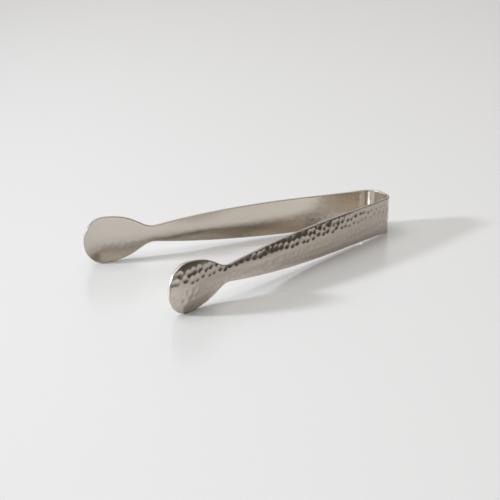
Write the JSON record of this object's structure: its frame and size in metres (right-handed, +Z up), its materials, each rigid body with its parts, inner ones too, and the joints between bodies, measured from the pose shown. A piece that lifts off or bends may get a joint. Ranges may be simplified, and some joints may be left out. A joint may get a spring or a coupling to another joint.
{
  "type": "ice tongs",
  "caption": "U-shaped spring ice tongs of hammered stainless steel strip, with a squared bow, crowned arms, narrow necks and dished egg-shaped paddles.",
  "frame": {"origin": "on the table, under the middle of the tongs' bounding box", "axes": "+X towards the paddles, +Y towards the left arm, +Z up from the table the tongs lie on"},
  "size_m": [0.1308, 0.0682, 0.0196],
  "materials": {
    "hammered_bow": "satin stainless, hammered outside, smooth inside",
    "hammered_arms": "satin stainless, hammered outside, smooth inside",
    "hammered_paddles": "satin stainless, hammered outside, smooth inside"
  },
  "bodies": {
    "bow": {"spring_bow": "hammered_bow"},
    "left": {"left_arm": "hammered_arms", "left_paddle": "hammered_paddles"},
    "right": {"right_arm": "hammered_arms", "right_paddle": "hammered_paddles"}
  },
  "joints": [
    {"name": "left_squeeze", "type": "hinge", "parent": "bow", "child": "left", "pos_m": [-0.05181, 0.00933, 0.00828], "axis": [-0.0139, 0, 0.9999], "range_deg": [-15, 3], "stiffness_Nm_per_rad": 6},
    {"name": "right_squeeze", "type": "hinge", "parent": "bow", "child": "right", "pos_m": [-0.05181, -0.00933, 0.00828], "axis": [-0.0139, 0, 0.9999], "range_deg": [-3, 15], "stiffness_Nm_per_rad": 6}
  ],
  "couplings": [
    {"joint": "right_squeeze", "follows": "left_squeeze", "ratio": -1}
  ]
}
